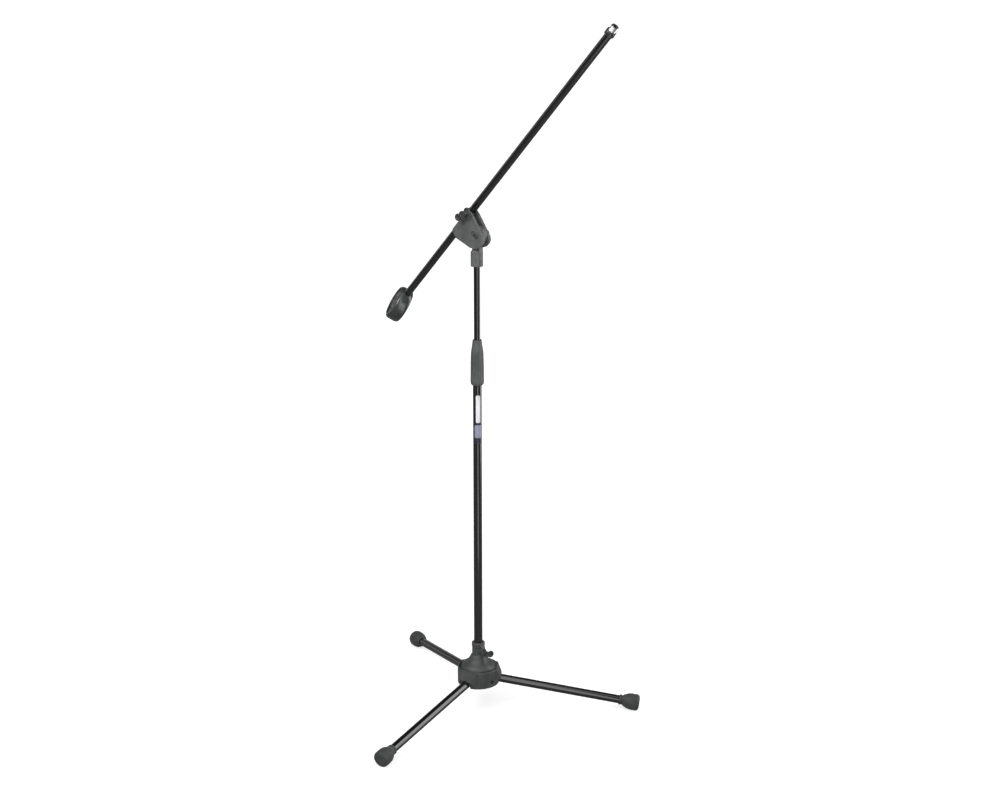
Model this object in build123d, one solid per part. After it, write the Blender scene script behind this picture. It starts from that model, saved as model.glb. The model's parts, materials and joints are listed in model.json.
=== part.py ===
from build123d import *
import math
import os

# Boom microphone stand. Millimetres and degrees. The column axis is X = Y = 0, the floor is Z = 0,
# and the boom lies in the XZ plane with its microphone end towards +X.

# ---- Clearances
RUN = 0.05                  # radial clearance of a running fit
GAP = 0.3                   # gap between faces that move past each other
THROUGH = 200.0             # length of a tool that cuts right through

# ---- Legs
LEG_COUNT = 3
LEG_AZIMUTH = 37.4          # first leg, from +X towards +Y
LEG_SLOPE = 9.2             # fall of an open leg below horizontal
LEG_TUBE_R = 9.3
LEG_TUBE_WALL = 1.0
PIVOT_RADIUS = 33.0         # leg pivot pin, from the column axis
PIVOT_Z = 70.2
PIN_R = 2.5
PIN_HEAD_R = 3.9
PIN_HEAD_T = 2.5
PLUG_DEPTH = 40.0           # plastic plug inside the leg's inner end
CAP_END = 334.0             # end of the rubber foot, from the pivot along the leg
CAP_LENGTH = 46.0
CAP_R = 18.5
CAP_NECK_R = 11.4
CAP_END_WALL = 8.0

# ---- Hub
HUB_BOTTOM_Z = 58.5
HUB_TOP_Z = 154.6
HUB_R = 46.5
HUB_LEDGE_Z = 97.0          # top of the drum's wall
HUB_GROOVE_Z = 91.5         # floor of the groove between the drum's rim and the bell
HUB_RIM_R = 43.2
HUB_BELL_R = 38.6
HUB_WALL = 4.0
NECK_R = 14.8
NECK_GROOVE_R = 13.9
CHEEK_HALF = 14.0           # half width of the pair of cheeks around a leg slot
SLOT_HALF = LEG_TUBE_R + 0.45
SLOT_INNER = 10.2           # slot depth behind the pivot pin
GUIDE_R = 17.5              # outside of the guide around the column
FACET_X = 41.0              # upper point of the sloping facet above each leg
FACET_Z = 100.0
FACET_LEAN = 25.3
HOOD_FOOT_R = 46.8          # hood around each leg, at the hub's underside
HOOD_R = 53.0               # hood at its widest
HOOD_Z = 76.0
HOOD_PLAN = [(30.0, -24.0), (41.0, -24.0), (54.0, -13.0), (54.0, 13.0), (41.0, 24.0), (30.0, 24.0)]
ACCESS_R = 4.2              # hole in the drum through which a pivot pin is driven

# ---- Hub lock screw
HUB_SCREW_AZIMUTH = -10.3
HUB_SCREW_Z = 136.0
HUB_SCREW_R = 3.0
HUB_BOSS_R = 7.5
HUB_BOSS_END = 21.0
HUB_INSERT_R = 5.0
GUSSET_T = 10.0
GUSSET = [(11.0, -6.0), (20.5, -6.0), (20.5, 6.0), (15.5, 15.5), (11.0, 15.5)]
HUB_BARREL_R = 6.2
HUB_WING_LENGTH = 15.5
HUB_WING_REACH = 9.0        # lobe centre, from the screw's axis
HUB_WING_TURN = 15.0
LOBE_R = 7.8
LOBE_T = 6.0
LOBE_DISH_R = 4.2
LOBE_DISH_DEPTH = 1.6

# ---- Column
LOWER_R = 9.525
LOWER_WALL = 1.2
LOWER_BOTTOM_Z = 62.0
LOWER_TOP_Z = 806.0
PLUG_FLANGE_R = 13.4
PLUG_FLANGE_T = 3.2
UPPER_R = 6.76
UPPER_WALL = 1.0
UPPER_BOTTOM_Z = 330.0
UPPER_TOP_Z = 1050.0
GLIDE_LENGTH = 22.0

# ---- Printed marks on the lower tube, plain shapes only
LABEL_T = 0.15
LABEL_AZIMUTH = -39.5
LABEL_BAR = (671.0, 733.0)
LABEL_PANEL = (637.0, 666.0)
LABEL_BAR_HALF = 29.0       # half angle around the tube
LABEL_PANEL_HALF = 46.0

# ---- Height clutch
CLUTCH_BOTTOM_Z = 754.0
CLUTCH_TOP_Z = 855.0
COLLAR_R = 11.2
COLLAR_BOTTOM_Z = 776.0
COLLAR_TOP_Z = 812.0
COLLET_LENGTH = 21.7
COLLET_R = 9.6
COLLET_TIP_R = 8.0
COLLET_SHOULDER = 4.0       # straight part below the cone
COLLET_ROOM = 0.5           # space around the open collet
COLLET_SLIT = 2.0
GRIP_R = 14.75
GRIP_FLUTES = 10
GRIP_FLUTE_R = 2.2

# ---- Mast socket, the fluted sleeve and round ear on top of the upper tube
SOCKET_BOTTOM_Z = 1014.5
SOCKET_TOP_Z = 1050.0
SOCKET_R = 13.2
SOCKET_FLUTES = 8
SOCKET_FLUTE_R = 3.2
SOCKET_FLUTE_OUT = 1.4      # flute centre, outside the sleeve
EAR_HALF = 5.6
EAR_R = 20.5
WASHER_T = 0.6
WASHER_R = 12.0
TILT_X = 5.0                # tilt pivot
TILT_Z = 1082.0

# ---- Boom clamp
BOOM_ELEVATION = 47.15
BOOM_OFFSET = 46.8          # boom axis, from the tilt pivot
PLATE_IN = 6.5              # inner face of each clamp plate, from the boom's plane
PLATE_OUT = 12.5
PLATE_REAR = -41.0          # ends of the jaws, along the boom from the pivot
PLATE_FRONT = 27.0
PLATE_TOP = 53.5
PLATE_CORNERS = [           # along the boom and square to it, from the pivot
    (PLATE_REAR, PLATE_TOP),
    (-45.0, 31.0),
    (-29.5, -8.5),
    (-18.5, -21.0),
    (-9.0, -26.0),
    (4.0, -26.5),
    (12.0, -23.0),
    (15.5, -16.0),
    (26.0, 33.0),
    (PLATE_FRONT, PLATE_TOP),
]
PLATE_CHAMFER = 4.8
RECESS_WIDTH = 12.0         # long recess around the bolt head
RECESS_LENGTH = 31.0
RECESS_DROP = 4.3
RECESS_DEPTH = 3.4
BOLT_R = 3.0
BOLT_HEAD_FLATS = 10.0
BOLT_HEAD_T = 4.0
BOLT_END = 23.0
TILT_KNOB_R = 9.0
TILT_BAR_HALF = 17.0
TILT_BAR_TURN = 25.0
TILT_BAR_T = 9.0
TILT_KNOB_OUT = 25.0

# ---- Boom
BOOM_R = 7.9
BOOM_WALL = 1.0
LINER_T = 0.75
LINER_SLIT = 2.0
BOOM_REAR = -280.0          # rear end of the tube, from the pivot along the boom
BOOM_FRONT = 557.0
COLLAR_TIP_R = 10.6
COLLAR_TIP_START = 547.0
THREAD_START = 559.0
THREAD_LENGTH = 12.0
THREAD_R = 7.94             # 5/8 inch microphone thread
THREAD_BORE_R = 5.2
SHANK_START = 535.0

# ---- Boom lock screw
LOCK_S = 18.0               # along the boom from the pivot
LOCK_R = 2.5
LOCK_BOSS_R = 7.6
LOCK_BOSS_OUT = 15.0
LOCK_INSERT_R = 4.6
LOCK_BARREL_R = 7.6
LOCK_WING_LENGTH = 13.0
LOCK_WING_REACH = 15.0
LOCK_WING_ANGLE = 105.0

# ---- Counterweight
WEIGHT_S = -298.5
WEIGHT_R = 39.0
WEIGHT_HALF = 15.0
WEIGHT_ROLL = 50.0          # turn of the disc about the boom, from upright
CORE_R = 31.0
CORE_HALF = 8.8
GRUB_R = 2.5
GRUB_S = -273.8


# ---- Frames
def leg_frame(index):
    """Origin at the pivot pin, +X out along the leg, +Y along the pin."""
    azimuth = LEG_AZIMUTH + index * 360.0 / LEG_COUNT
    return Rot(0, 0, azimuth) * Pos(PIVOT_RADIUS, 0, PIVOT_Z) * Rot(0, LEG_SLOPE, 0)


def leg_azimuth_frame(index):
    """Origin on the column axis, +X towards the leg, +Z up."""
    return Rot(0, 0, LEG_AZIMUTH + index * 360.0 / LEG_COUNT)


def hub_screw_frame():
    """Origin on the column axis, +X out along the hub lock screw."""
    return Rot(0, 0, HUB_SCREW_AZIMUTH) * Pos(0, 0, HUB_SCREW_Z)


def pivot_frame():
    """Origin at the tilt pivot, +X along the boom, +Z square to it, +Y along the pivot."""
    return Pos(TILT_X, 0, TILT_Z) * Rot(0, -BOOM_ELEVATION, 0)


def boom_frame():
    """As the pivot frame, with its origin on the boom's axis."""
    return pivot_frame() * Pos(0, 0, BOOM_OFFSET)


def weight_frame():
    """Origin at the counterweight's centre, +X along the boom, +Z square to its faces."""
    return boom_frame() * Pos(WEIGHT_S, 0, 0) * Rot(90 - WEIGHT_ROLL, 0, 0)


# ---- Shapes used more than once
def rod_z(radius, z0, z1):
    return Pos(0, 0, (z0 + z1) / 2) * Cylinder(radius, z1 - z0)


def rod_x(radius, x0, x1):
    return Pos((x0 + x1) / 2, 0, 0) * Rot(0, 90, 0) * Cylinder(radius, x1 - x0)


def rod_y(radius, y0, y1):
    return Pos(0, (y0 + y1) / 2, 0) * Rot(90, 0, 0) * Cylinder(radius, y1 - y0)


def ring_z(outer, inner, z0, z1):
    return rod_z(outer, z0, z1) - rod_z(inner, z0 - 1, z1 + 1)


def ring_x(outer, inner, x0, x1):
    return rod_x(outer, x0, x1) - rod_x(inner, x0 - 1, x1 + 1)


def ring_y(outer, inner, y0, y1):
    return rod_y(outer, y0, y1) - rod_y(inner, y0 - 1, y1 + 1)


def block(x0, x1, y0, y1, z0, z1):
    centre = Pos((x0 + x1) / 2, (y0 + y1) / 2, (z0 + z1) / 2)
    return centre * Box(x1 - x0, y1 - y0, z1 - z0)


def turned(points):
    """Solid of revolution about Z from (radius, z) corners."""
    face = make_face(Polyline(*points, close=True))
    return revolve(Plane.XZ * face, Axis.Z)


def hex_y(flats, y0, y1):
    """Hexagonal bar along Y."""
    outline = RegularPolygon(flats / math.sqrt(3), 6)
    return Pos(0, y1, 0) * extrude(Plane.XZ * outline, y1 - y0)


def lobed_head(barrel_r, start, length, reach):
    """Hand screw head along +X: a barrel with a dished round lobe on each side."""
    end = start + length
    head = rod_x(barrel_r, start, end)
    head += block(end - LOBE_T, end - 1, -reach, reach, -LOBE_R / 2, LOBE_R / 2)
    for side in (-1, 1):
        lobe = rod_x(LOBE_R, end - LOBE_T, end)
        lobe -= rod_x(LOBE_DISH_R, end - LOBE_DISH_DEPTH, end + 1)
        head += Pos(0, side * reach, 0) * lobe
    return head


# ---- Hub
def hub_outline():
    """Outside of the hub in the XZ plane: drum, shoulder, bell and neck."""
    drum = Polyline(
        (0, HUB_BOTTOM_Z),
        (HUB_R, HUB_BOTTOM_Z),
        (HUB_R, HUB_LEDGE_Z - 1.5),
        (HUB_R - 1.5, HUB_LEDGE_Z),
        (HUB_RIM_R, HUB_LEDGE_Z),
        (HUB_RIM_R, HUB_GROOVE_Z),
        (HUB_BELL_R, HUB_GROOVE_Z),
    )
    bell = Spline(
        (HUB_BELL_R, HUB_GROOVE_Z),
        (36.0, 101.5),
        (28.5, 107.5),
        (21.3, 114.5),
        (16.6, 123.5),
        (NECK_GROOVE_R, 138.0),
        tangents=((0, 1), (0, 1)),
    )
    neck = Polyline(
        (NECK_GROOVE_R, 138.0),
        (NECK_GROOVE_R, 143.5),
        (NECK_R, 144.8),
        (NECK_R, HUB_TOP_Z - 1.2),
        (NECK_R - 1.2, HUB_TOP_Z),
        (0, HUB_TOP_Z),
        (0, HUB_BOTTOM_Z),
    )
    return Plane.XZ * make_face(drum + bell + neck)


def hub_pockets():
    """Hollow underside of the drum, left solid around the column and the leg slots."""
    inner = HUB_R - HUB_WALL
    void = turned([
        (GUIDE_R, HUB_BOTTOM_Z - 1),
        (inner, HUB_BOTTOM_Z - 1),
        (inner, 84.0),
        (34.5, 93.0),
        (24.0, 99.0),
        (GUIDE_R, 103.0),
    ])
    for index in range(LEG_COUNT):
        cheeks = block(0, THROUGH, -CHEEK_HALF, CHEEK_HALF, 0, THROUGH)
        void -= leg_azimuth_frame(index) * cheeks
    return void


def leg_slot():
    """Arched slot around one leg, open below, in the leg's frame."""
    arch = rod_x(SLOT_HALF, -SLOT_INNER, THROUGH)
    below = block(-SLOT_INNER, THROUGH, -SLOT_HALF, SLOT_HALF, -THROUGH, 0)
    around_pin = rod_y(SLOT_HALF, -SLOT_HALF, SLOT_HALF)
    return arch + below + around_pin


def leg_hood():
    """Raised surround of one leg's arch, with sides that splay into the drum."""
    outline = Polyline(*HOOD_PLAN, close=True)
    return Pos(0, 0, HUB_BOTTOM_Z) * extrude(make_face(outline), HUB_LEDGE_Z - HUB_BOTTOM_Z)


def hood_limit():
    """Solid of revolution that the three hoods stay inside."""
    return turned([
        (HUB_BELL_R, HUB_BOTTOM_Z),
        (HOOD_FOOT_R, HUB_BOTTOM_Z),
        (HOOD_R, HOOD_Z),
        (HOOD_R, HUB_LEDGE_Z),
        (HUB_BELL_R, HUB_LEDGE_Z),
    ])


def hub_boss():
    """Boss around the lock screw, with a gusset up to the neck's ring."""
    gusset = Plane.XZ * make_face(Polyline(*GUSSET, close=True))
    web = Pos(0, GUSSET_T / 2, 0) * extrude(gusset, GUSSET_T)
    return web + rod_x(HUB_BOSS_R, LOWER_R, HUB_BOSS_END)


def hub_body():
    hub = revolve(hub_outline(), Axis.Z)
    for index in range(LEG_COUNT):
        hub += hood_limit() & (leg_azimuth_frame(index) * leg_hood())
    hub += hub_screw_frame() * hub_boss()
    hub -= hub_pockets()
    for index in range(LEG_COUNT):
        facet = Pos(FACET_X, 0, FACET_Z) * Rot(0, -FACET_LEAN, 0) * block(0, 60, -60, 60, -60, 60)
        hub -= leg_azimuth_frame(index) * facet
        hub -= leg_frame(index) * leg_slot()
        hub -= leg_frame(index) * rod_y(PIN_R, -CHEEK_HALF - 2, CHEEK_HALF)
        hub -= leg_frame(index) * rod_y(ACCESS_R, -THROUGH, -CHEEK_HALF)
    hub -= rod_z(LOWER_R + RUN, 0, THROUGH)
    hub -= rod_z(PLUG_FLANGE_R + GAP, 0, LOWER_BOTTOM_Z + GAP)
    hub -= hub_screw_frame() * rod_x(HUB_INSERT_R, HUB_BOSS_END - 8, THROUGH)
    hub -= hub_screw_frame() * rod_x(HUB_SCREW_R + GAP, 0, THROUGH)
    return hub


def hub_lock_insert():
    insert = ring_x(HUB_INSERT_R, HUB_SCREW_R + RUN, HUB_BOSS_END - 8, HUB_BOSS_END)
    return hub_screw_frame() * insert


def hub_lock_screw():
    return hub_screw_frame() * rod_x(HUB_SCREW_R, LOWER_R + GAP + RUN, HUB_BOSS_END + 10)


def hub_lock_wing():
    start = HUB_BOSS_END + GAP
    head = lobed_head(HUB_BARREL_R, start, HUB_WING_LENGTH, HUB_WING_REACH)
    head -= rod_x(HUB_SCREW_R, 0, HUB_BOSS_END + 10)
    return hub_screw_frame() * Rot(-HUB_WING_TURN, 0, 0) * head


def leg_pivot_pins():
    """Three headed pins, one solid each."""
    pins = []
    for index in range(LEG_COUNT):
        pin = rod_y(PIN_R, -CHEEK_HALF, CHEEK_HALF)
        pin += rod_y(PIN_HEAD_R, -CHEEK_HALF - PIN_HEAD_T, -CHEEK_HALF)
        pins.append(leg_frame(index) * pin)
    return Compound(children=pins)


# ---- Legs
def leg_nose(radius):
    """Rod along the leg whose inner end is rounded about the pivot pin."""
    body = rod_x(radius, -LEG_TUBE_R, CAP_END - CAP_END_WALL)
    round_end = rod_y(LEG_TUBE_R - RUN, -THROUGH, THROUGH)
    outer = block(0, CAP_END, -THROUGH, THROUGH, -THROUGH, THROUGH)
    return body & (round_end + outer)


def leg_tube(index):
    tube = leg_nose(LEG_TUBE_R)
    tube -= rod_x(LEG_TUBE_R - LEG_TUBE_WALL, -THROUGH, CAP_END)
    tube -= rod_y(PIN_R + RUN, -THROUGH, THROUGH)
    return leg_frame(index) * tube


def leg_plug(index):
    plug = leg_nose(LEG_TUBE_R - LEG_TUBE_WALL)
    plug &= block(-THROUGH, PLUG_DEPTH, -THROUGH, THROUGH, -THROUGH, THROUGH)
    plug -= rod_y(PIN_R + RUN, -THROUGH, THROUGH)
    return leg_frame(index) * plug


def foot_profile():
    """Outside of the rubber foot, as (radius, distance along the leg)."""
    start = CAP_END - CAP_LENGTH
    return [
        (LEG_TUBE_R, start),
        (CAP_NECK_R - 0.6, start),
        (CAP_NECK_R, start + 0.8),
        (CAP_NECK_R, start + 5.0),
        (CAP_NECK_R - 0.7, start + 6.0),
        (CAP_NECK_R - 0.7, start + 8.0),
        (CAP_NECK_R + 0.9, start + 9.5),
        (15.6, start + 16.5),
        (17.6, start + 21.5),
        (CAP_R - 0.2, start + 27.0),
        (CAP_R, CAP_END - 5.5),
        (CAP_R - 1.6, CAP_END - 1.8),
        (CAP_R - 5.0, CAP_END),
        (0, CAP_END),
        (0, CAP_END - CAP_END_WALL),
        (LEG_TUBE_R, CAP_END - CAP_END_WALL),
    ]


def foot_cap(index):
    cap = leg_frame(index) * Rot(0, 90, 0) * turned(foot_profile())
    return cap - block(-500, 500, -500, 500, -50, 0)


# ---- Column
def lower_tube():
    return ring_z(LOWER_R, LOWER_R - LOWER_WALL, LOWER_BOTTOM_Z, LOWER_TOP_Z)


def lower_tube_plug():
    """Retaining flange below the hub, pressed into the tube."""
    flange = rod_z(PLUG_FLANGE_R, LOWER_BOTTOM_Z - PLUG_FLANGE_T, LOWER_BOTTOM_Z)
    return flange + rod_z(LOWER_R - LOWER_WALL, LOWER_BOTTOM_Z, LOWER_BOTTOM_Z + 18)


def tube_mark(z_range, half_angle):
    """Thin printed patch that follows the tube's surface."""
    patch = ring_z(LOWER_R + LABEL_T, LOWER_R, *z_range)
    reach = 3 * LOWER_R
    half = math.radians(half_angle)
    corners = [(0, 0), (reach * math.cos(half), -reach * math.sin(half)),
               (reach * math.cos(half), reach * math.sin(half))]
    wedge = extrude(make_face(Polyline(*corners, close=True)), z_range[1])
    return Rot(0, 0, LABEL_AZIMUTH) * (patch & wedge)


def clutch_collar():
    """Threaded collar on the lower tube, with the lip that carries the collet."""
    collar = ring_z(COLLAR_R, LOWER_R, COLLAR_BOTTOM_Z, LOWER_TOP_Z)
    return collar + ring_z(COLLAR_R, UPPER_R + 0.5, LOWER_TOP_Z, COLLAR_TOP_Z)


def clutch_collet():
    """Split cone that grips the upper tube."""
    start = COLLAR_TOP_Z + GAP
    end = start + COLLET_LENGTH
    bore = UPPER_R + RUN
    shoulder = start + COLLET_SHOULDER
    collet = turned([
        (bore, start),
        (COLLET_R, start),
        (COLLET_R, shoulder),
        (COLLET_TIP_R, end),
        (bore, end),
    ])
    return collet - block(0, THROUGH, -COLLET_SLIT / 2, COLLET_SLIT / 2, start - 1, end + 1)


def clutch_grip():
    thread = COLLAR_R + RUN
    skirt = LOWER_R + 0.4
    throat = UPPER_R + 0.5
    step = COLLAR_TOP_Z + GAP
    end = step + COLLET_LENGTH + COLLET_ROOM
    grip = turned([
        (skirt, CLUTCH_BOTTOM_Z),
        (10.8, CLUTCH_BOTTOM_Z),
        (13.6, CLUTCH_BOTTOM_Z + 2.4),
        (GRIP_R, CLUTCH_BOTTOM_Z + 7.5),
        (GRIP_R - 0.3, CLUTCH_BOTTOM_Z + 45.0),
        (13.7, CLUTCH_TOP_Z - 28.0),
        (11.9, CLUTCH_TOP_Z - 17.0),
        (10.5, CLUTCH_TOP_Z - 8.0),
        (9.9, CLUTCH_TOP_Z - 1.2),
        (9.0, CLUTCH_TOP_Z),
        (throat, CLUTCH_TOP_Z),
        (throat, end),
        (COLLET_TIP_R + COLLET_ROOM, end),
        (COLLET_R + COLLET_ROOM, step + COLLET_SHOULDER),
        (COLLET_R + COLLET_ROOM, step),
        (thread, step),
        (thread, COLLAR_BOTTOM_Z - GAP),
        (skirt, COLLAR_BOTTOM_Z - GAP),
    ])
    for index in range(GRIP_FLUTES):
        flute = Pos(GRIP_R + 0.8, 0, 0) * rod_z(GRIP_FLUTE_R, CLUTCH_BOTTOM_Z + 12, CLUTCH_TOP_Z - 20)
        grip -= Rot(0, 0, index * 360.0 / GRIP_FLUTES) * flute
    return grip


def upper_tube():
    return ring_z(UPPER_R, UPPER_R - UPPER_WALL, UPPER_BOTTOM_Z, UPPER_TOP_Z)


def upper_glide():
    """Plastic ring that centres the upper tube inside the lower one."""
    outer = LOWER_R - LOWER_WALL - RUN
    return ring_z(outer, UPPER_R, UPPER_BOTTOM_Z, UPPER_BOTTOM_Z + GLIDE_LENGTH)


# ---- Mast socket
def socket_screw_hole(radius, inner, outer):
    return Pos(0, 0, SOCKET_BOTTOM_Z + 16) * Rot(0, 0, 120) * rod_x(radius, inner, outer)


def mast_socket():
    sleeve = turned([
        (0, SOCKET_BOTTOM_Z),
        (SOCKET_R - 1.0, SOCKET_BOTTOM_Z),
        (SOCKET_R, SOCKET_BOTTOM_Z + 1.0),
        (SOCKET_R, SOCKET_TOP_Z - 4.0),
        (SOCKET_R - 3.5, SOCKET_TOP_Z),
        (0, SOCKET_TOP_Z),
    ])
    for index in range(SOCKET_FLUTES):
        flute = rod_z(SOCKET_FLUTE_R, SOCKET_BOTTOM_Z + 3, SOCKET_TOP_Z)
        turn = (index + 0.5) * 360.0 / SOCKET_FLUTES
        sleeve -= Rot(0, 0, turn) * Pos(SOCKET_R + SOCKET_FLUTE_OUT, 0, 0) * flute
    ear = Pos(TILT_X, 0, TILT_Z) * rod_y(EAR_R, -EAR_HALF, EAR_HALF)
    neck = block(-8.5, 12.5, -EAR_HALF, EAR_HALF, SOCKET_TOP_Z - 6, TILT_Z)
    socket = sleeve + ear + neck
    socket -= rod_z(UPPER_R, 0, UPPER_TOP_Z)
    socket -= Pos(TILT_X, 0, TILT_Z) * rod_y(BOLT_R + RUN, -THROUGH, THROUGH)
    socket -= socket_screw_hole(2.0, 0, THROUGH)
    return socket


def socket_screw():
    """Grub screw that fixes the socket on the upper tube."""
    return socket_screw_hole(2.0, UPPER_R, SOCKET_R - 2.0)


def friction_washers():
    """One washer on each side of the ear."""
    washers = []
    for side in (-1, 1):
        inner_face = side * EAR_HALF
        outer_face = side * (EAR_HALF + WASHER_T)
        washer = ring_y(WASHER_R, BOLT_R + RUN, min(inner_face, outer_face), max(inner_face, outer_face))
        washers.append(Pos(TILT_X, 0, TILT_Z) * washer)
    return Compound(children=washers)


# ---- Boom clamp
def plate_blank():
    """Outline of a clamp plate, extruded from Y = 0 towards -Y, in the pivot frame."""
    outline = make_face(Polyline(*PLATE_CORNERS, close=True))
    blank = extrude(Plane.XZ * outline, PLATE_OUT)
    blank -= block(-THROUGH, THROUGH, -PLATE_IN, 1, -THROUGH, THROUGH)
    outer_edges = blank.edges().filter_by_position(Axis.Y, -PLATE_OUT - 0.01, -PLATE_OUT + 0.01)
    top_edges = outer_edges.filter_by_position(Axis.Z, PLATE_TOP - 0.01, PLATE_TOP + 0.01)
    return chamfer(top_edges, PLATE_CHAMFER)


def jaw_groove():
    """Round groove that holds the boom's liner, in the pivot frame."""
    return Pos(0, 0, BOOM_OFFSET) * rod_x(BOOM_R + LINER_T + 2 * RUN, -THROUGH, THROUGH)


def clamp_plate_near():
    plate = plate_blank()
    plate += Pos(LOCK_S, 0, BOOM_OFFSET) * rod_y(LOCK_BOSS_R, -LOCK_BOSS_OUT, -PLATE_IN)
    plate -= jaw_groove()
    recess = oblong(RECESS_WIDTH, RECESS_LENGTH, -THROUGH, -PLATE_OUT + RECESS_DEPTH)
    plate -= Pos(0, 0, -RECESS_DROP) * recess
    plate -= hex_y(BOLT_HEAD_FLATS, -THROUGH, -PLATE_OUT + BOLT_HEAD_T + 0.2)
    plate -= rod_y(BOLT_R, -THROUGH, THROUGH)
    plate -= Pos(LOCK_S, 0, BOOM_OFFSET) * rod_y(LOCK_INSERT_R, -THROUGH, -LOCK_BOSS_OUT + 5)
    plate -= Pos(LOCK_S, 0, BOOM_OFFSET) * rod_y(LOCK_R + GAP, -THROUGH, 0)
    return pivot_frame() * plate


def oblong(width, length, y0, y1):
    """Bar along Y with an oblong section, long along Z."""
    run = (length - width) / 2
    bar = block(-width / 2, width / 2, y0, y1, -run, run)
    for side in (-1, 1):
        bar += Pos(0, 0, side * run) * rod_y(width / 2, y0, y1)
    return bar


def clamp_plate_far():
    plate = mirror(plate_blank(), Plane.XZ)
    plate -= jaw_groove()
    plate -= rod_y(BOLT_R, -THROUGH, THROUGH)
    return pivot_frame() * plate


def pivot_bolt():
    seat = -PLATE_OUT + BOLT_HEAD_T + 0.2
    bolt = hex_y(BOLT_HEAD_FLATS, seat - BOLT_HEAD_T, seat)
    bolt += rod_y(BOLT_R, seat, BOLT_END)
    return pivot_frame() * bolt


def knob_washer():
    return pivot_frame() * ring_y(7.5, BOLT_R, PLATE_OUT, PLATE_OUT + 0.8)


def tilt_insert():
    start = PLATE_OUT + 0.8 + GAP
    return pivot_frame() * ring_y(5.2, BOLT_R + RUN, start, start + 9)


def tilt_knob():
    """T-shaped hand knob on the far side of the tilt pivot."""
    start = PLATE_OUT + 0.8 + GAP
    knob = rod_y(TILT_KNOB_R, start, TILT_KNOB_OUT)
    bar = oblong(TILT_BAR_T, 2 * TILT_BAR_HALF, TILT_KNOB_OUT - 8, TILT_KNOB_OUT)
    knob += Rot(0, TILT_BAR_TURN, 0) * bar
    knob -= rod_y(5.2, 0, start + 9)
    knob -= rod_y(BOLT_R + RUN, 0, BOLT_END + GAP)
    return pivot_frame() * knob


def lock_frame():
    """+X out of the near plate along the boom lock screw."""
    return pivot_frame() * Pos(LOCK_S, 0, BOOM_OFFSET) * Rot(0, LOCK_WING_ANGLE, 0) * Rot(0, 0, -90)


def boom_lock_insert():
    return lock_frame() * ring_x(LOCK_INSERT_R, LOCK_R + RUN, LOCK_BOSS_OUT - 5, LOCK_BOSS_OUT)


def boom_lock_screw():
    tip = BOOM_R + LINER_T + GAP
    return lock_frame() * rod_x(LOCK_R, tip, LOCK_BOSS_OUT + 9)


def boom_lock_wing():
    start = LOCK_BOSS_OUT + GAP
    head = lobed_head(LOCK_BARREL_R, start, LOCK_WING_LENGTH, LOCK_WING_REACH)
    head -= rod_x(LOCK_R, 0, LOCK_BOSS_OUT + 9)
    return lock_frame() * Rot(90, 0, 0) * head


# ---- Boom
def boom_liner():
    """Split plastic sleeve between the jaws and the boom."""
    liner = ring_x(BOOM_R + LINER_T, BOOM_R + RUN, PLATE_REAR + 1, PLATE_FRONT - 1)
    liner -= block(-THROUGH, THROUGH, -LINER_SLIT / 2, LINER_SLIT / 2, -THROUGH, 0)
    return boom_frame() * liner


def boom_tube():
    return boom_frame() * ring_x(BOOM_R, BOOM_R - BOOM_WALL, BOOM_REAR, BOOM_FRONT)


def tip_collar():
    collar = rod_x(COLLAR_TIP_R, COLLAR_TIP_START, THREAD_START)
    collar -= rod_x(BOOM_R, 0, BOOM_FRONT)
    collar -= rod_x(BOOM_R - BOOM_WALL, 0, THREAD_START + 1)
    return boom_frame() * collar


def tip_thread():
    """Hollow threaded end that carries the microphone clip."""
    thread = rod_x(THREAD_R, THREAD_START, THREAD_START + THREAD_LENGTH)
    thread += rod_x(BOOM_R - BOOM_WALL, SHANK_START, THREAD_START)
    return boom_frame() * (thread - rod_x(THREAD_BORE_R, 0, THREAD_START + THREAD_LENGTH + 1))


# ---- Counterweight
def boom_bore():
    """Tube socket from the rim towards the centre, in the weight's frame."""
    return rod_x(BOOM_R, BOOM_REAR - WEIGHT_S, THROUGH)


def grub_hole(radius, z0, z1):
    return Pos(GRUB_S - WEIGHT_S, 0, 0) * rod_z(radius, z0, z1)


def counterweight_core():
    core = rod_z(CORE_R, -CORE_HALF, CORE_HALF)
    core -= boom_bore()
    core -= grub_hole(GRUB_R, -THROUGH, 0)
    return weight_frame() * core


def counterweight_cover():
    """Moulded cover with a raised rim and a dished face on both sides."""
    half = [
        (0, WEIGHT_HALF - 4.5),
        (9.0, WEIGHT_HALF - 4.5),
        (10.0, WEIGHT_HALF - 3.0),
        (17.0, WEIGHT_HALF - 2.8),
        (19.5, WEIGHT_HALF - 4.8),
        (28.0, WEIGHT_HALF - 4.4),
        (31.5, WEIGHT_HALF - 0.8),
        (34.0, WEIGHT_HALF),
        (36.5, WEIGHT_HALF - 1.4),
        (38.3, WEIGHT_HALF - 4.6),
        (WEIGHT_R, WEIGHT_HALF - 9.0),
    ]
    lower = [(radius, -z) for radius, z in reversed(half)]
    cover = turned(half + lower)
    cover -= rod_z(CORE_R, -CORE_HALF, CORE_HALF)
    cover -= boom_bore()
    cover -= grub_hole(GRUB_R + 0.8, -THROUGH, 0)
    return weight_frame() * cover


def counterweight_screw():
    """Grub screw that holds the weight on the boom."""
    return weight_frame() * grub_hole(GRUB_R, -CORE_HALF, -BOOM_R)


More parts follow.
